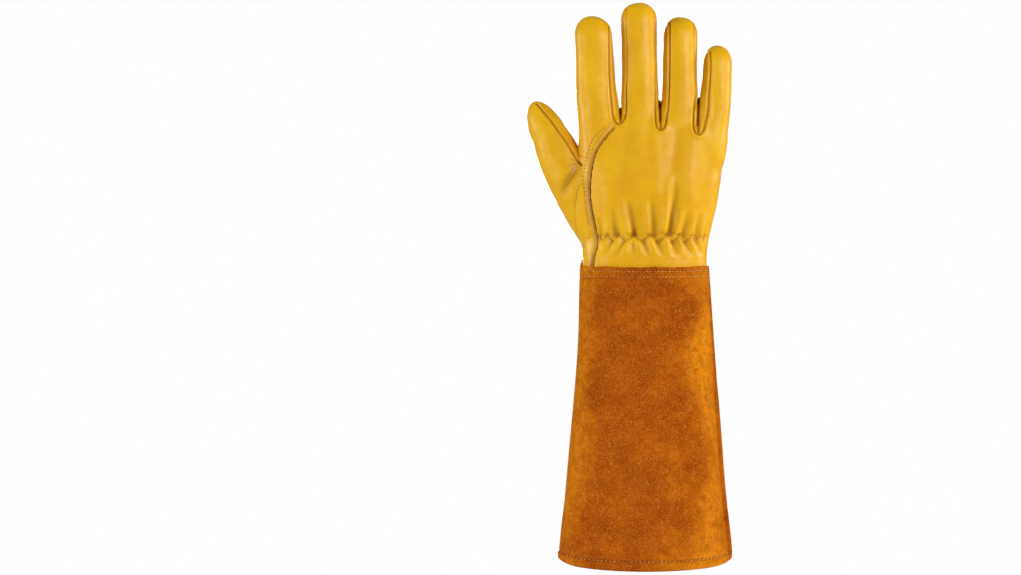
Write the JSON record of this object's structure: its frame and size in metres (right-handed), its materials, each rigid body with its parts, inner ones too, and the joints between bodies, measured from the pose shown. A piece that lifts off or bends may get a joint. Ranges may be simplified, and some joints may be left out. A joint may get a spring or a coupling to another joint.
{
  "type": "long-cuffed leather gardening glove",
  "caption": "Right-hand thorn-proof gardening glove of grain leather with a long flared suede gauntlet cuff, held open in its worn form.",
  "frame": {"origin": "middle of the cuff mouth, level with the lowest point of its hem", "axes": "+Z from the cuff mouth to the fingertips, back of the hand towards -Y, palm towards +Y, thumb towards -X"},
  "size_m": [0.1649, 0.0638, 0.4568],
  "materials": {
    "grain_leather": "smooth golden yellow grain leather with a soft sheen",
    "raw_leather_edge": "pale tan cut edge of the leather, matt",
    "suede_cuff": "napped orange-brown split suede, matt and mottled"
  },
  "bodies": {
    "root": {"hand_shell": "grain_leather", "middle_finger_front": "grain_leather", "ring_finger_front": "grain_leather", "thumb": "grain_leather", "thumb_patch": "grain_leather", "back_seam_welt": "raw_leather_edge", "thumb_seam_welt": "raw_leather_edge", "gauntlet_cuff": "suede_cuff"}
  },
  "joints": []
}
